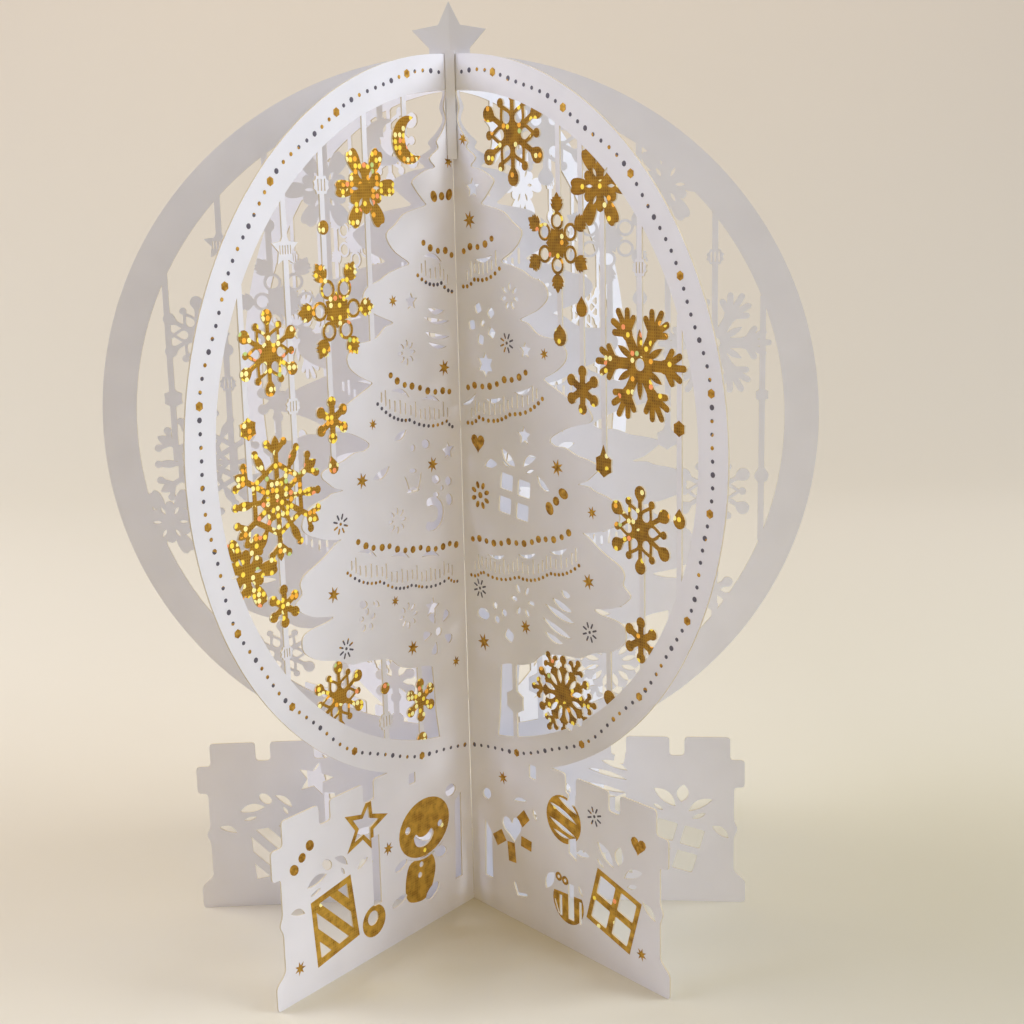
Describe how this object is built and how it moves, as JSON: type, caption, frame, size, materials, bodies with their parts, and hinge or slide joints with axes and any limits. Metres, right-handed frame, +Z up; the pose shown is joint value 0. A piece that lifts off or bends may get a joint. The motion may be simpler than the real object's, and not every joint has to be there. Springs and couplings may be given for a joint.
{
  "type": "pop up card",
  "caption": "Free-standing die-cut card: folded sheets with a ring, a fir tree, hanging snowflakes and a battlement base, hooked together at the spine under a star.",
  "frame": {"origin": "foot of the middle sheet's fold, on the surface that the card stands on", "axes": "+Z up the fold, +X to the right and -Y to the front, into which the front sheet opens, while the rear sheet opens to +Y"},
  "size_m": [0.1595, 0.1318, 0.207],
  "materials": {
    "white_card": "matt white card with a fine tooth and cream cut edges",
    "gold_foil": "stamped gold foil with a fine woven sparkle"
  },
  "bodies": {
    "root": {"front_sheet": "white_card", "middle_sheet": "white_card", "rear_sheet": "white_card"}
  },
  "joints": []
}
